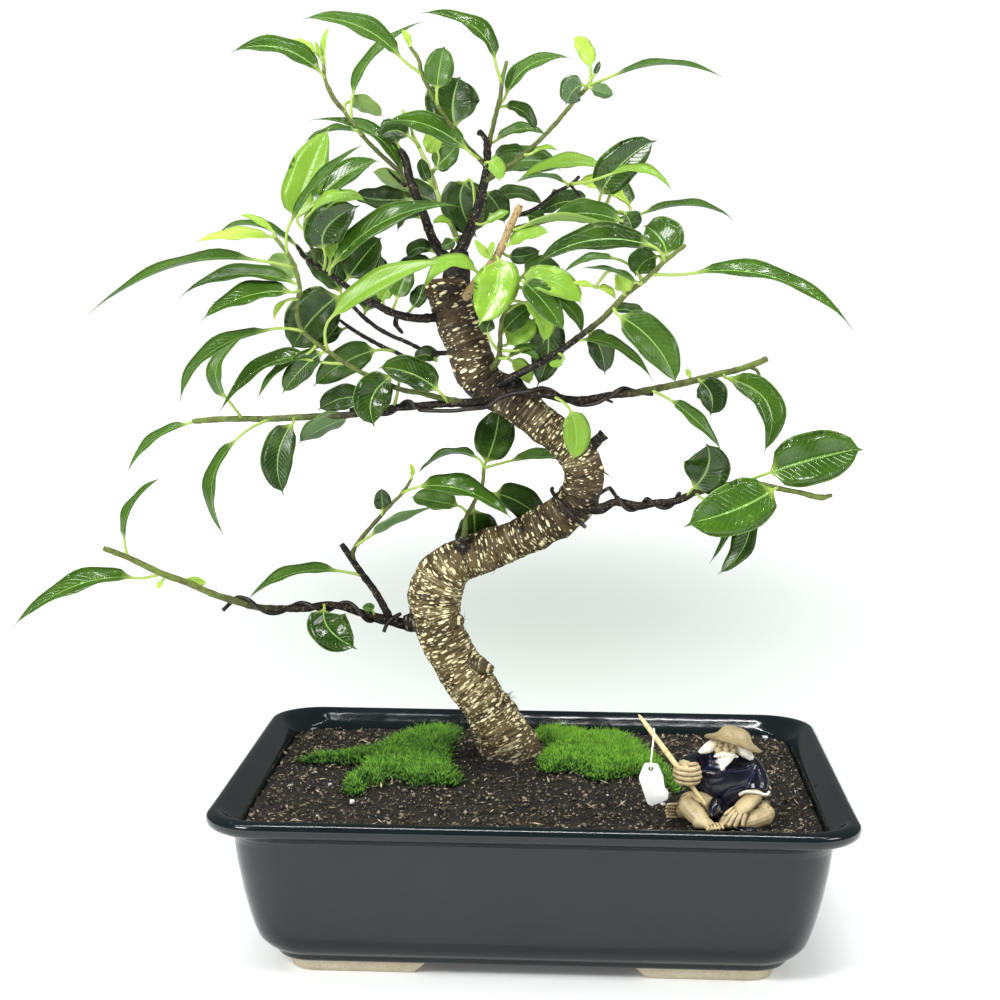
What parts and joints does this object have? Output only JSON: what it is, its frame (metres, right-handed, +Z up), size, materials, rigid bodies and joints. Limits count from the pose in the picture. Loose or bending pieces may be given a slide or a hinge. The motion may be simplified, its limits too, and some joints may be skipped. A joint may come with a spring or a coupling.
{
  "type": "potted ficus bonsai",
  "caption": "Wired ficus bonsai with an S-shaped trunk and long narrow leaves, in a low rectangular glazed pot on four corner feet, with moss and a small seated angler figurine.",
  "frame": {"origin": "middle of the part's box in X and Y, on the table plane under the pot's feet", "axes": "+Z up the tree, +X to the right along the pot's long side seen from the front, -Y towards the viewer in front"},
  "size_m": [0.3692, 0.2022, 0.3935],
  "materials": {
    "pot_glaze": "glossy near-black glaze, bare cream clay under the feet",
    "screen_plastic": "matt black plastic mesh",
    "soil": "damp dark gritty potting mix with a few pale grains",
    "moss": "soft bright green tufts",
    "bark": "fine brown bark with short pale cross lines, darker on the limbs",
    "leaf": "smooth leathery green, wet in places, pale rib",
    "wire": "dark anodised training wire",
    "figurine": "tan clay with a glossy dark blue robe and white hair",
    "rod": "pale split bamboo",
    "tag": "blank white card",
    "thread": "off-white twisted cotton"
  },
  "bodies": {
    "root": {"pot": "pot_glaze", "drain_screen_left": "screen_plastic", "drain_screen_right": "screen_plastic", "soil": "soil", "moss_left": "moss", "moss_right": "moss", "trunk": "bark", "wire_lower_left": "wire", "wire_lower_right": "wire", "wire_middle": "wire", "figurine": "figurine", "fishing_rod": "rod", "tag": "tag", "tag_thread": "thread", "limb_lower_left": "leaf", "shoot_on_trunk": "leaf", "limb_lower_right": "leaf", "limb_middle_left": "leaf", "limb_back_left": "leaf", "limb_upper_left": "leaf", "limb_crown_left": "leaf", "limb_crown_centre": "leaf", "limb_upper_right": "leaf", "limb_rising_right": "leaf", "limb_middle_right": "leaf", "shoot_centre": "leaf"}
  },
  "joints": []
}
